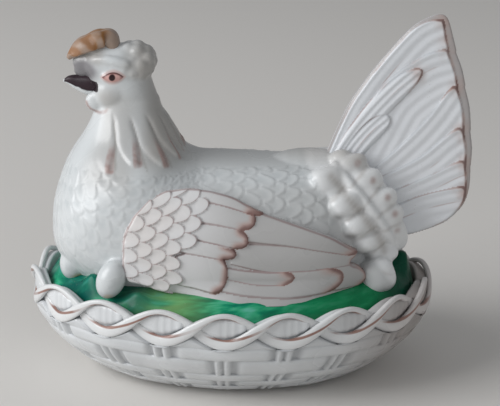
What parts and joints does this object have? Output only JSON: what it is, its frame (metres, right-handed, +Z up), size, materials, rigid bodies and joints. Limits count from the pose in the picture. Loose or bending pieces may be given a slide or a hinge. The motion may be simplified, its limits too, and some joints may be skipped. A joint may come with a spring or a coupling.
{
  "type": "lidded serving dish",
  "caption": "Lidded pottery dish: an oval basketweave bowl with a twisted scalloped rim, covered by a hen sitting on a green nest.",
  "frame": {"origin": "centre of the flat underside of the basket's foot", "axes": "+Z up; +X from the hen's head towards her tail, along the length of the dish; +Y towards the hen's right wing"},
  "size_m": [0.2168, 0.143, 0.1789],
  "materials": {
    "basket_glaze": "clear glossy glaze over a greyish white body",
    "hen_glaze": "clear glossy glaze over a white body",
    "feather_glaze": "clear glossy glaze over white with thin reddish brown feather lines",
    "nest_glaze": "streaky brushed green under a glossy glaze",
    "beak_glaze": "purplish black brushed colour under a glossy glaze",
    "comb_glaze": "thin tan brown wash under a glossy glaze"
  },
  "bodies": {
    "basket": {"basket_bowl": "basket_glaze", "rim_strand_1": "basket_glaze", "rim_strand_2": "basket_glaze"},
    "lid": {"nest_cover": "nest_glaze", "hen_body": "hen_glaze", "hen_head": "hen_glaze", "beak": "beak_glaze", "comb": "comb_glaze", "crest": "hen_glaze", "left_wattle": "comb_glaze", "right_wattle": "comb_glaze", "tail_fan": "feather_glaze", "left_wing": "feather_glaze", "right_wing": "feather_glaze", "left_saddle_feathers": "hen_glaze", "right_saddle_feathers": "hen_glaze", "left_tail_coverts": "hen_glaze", "right_tail_coverts": "hen_glaze", "left_front_tuft": "hen_glaze", "right_front_tuft": "hen_glaze", "left_side_tuft": "hen_glaze", "right_side_tuft": "hen_glaze"}
  },
  "joints": [
    {"name": "lid_lift", "type": "slide", "parent": "basket", "child": "lid", "axis": [0, 0, 1], "range_m": [0, 0.1]}
  ]
}
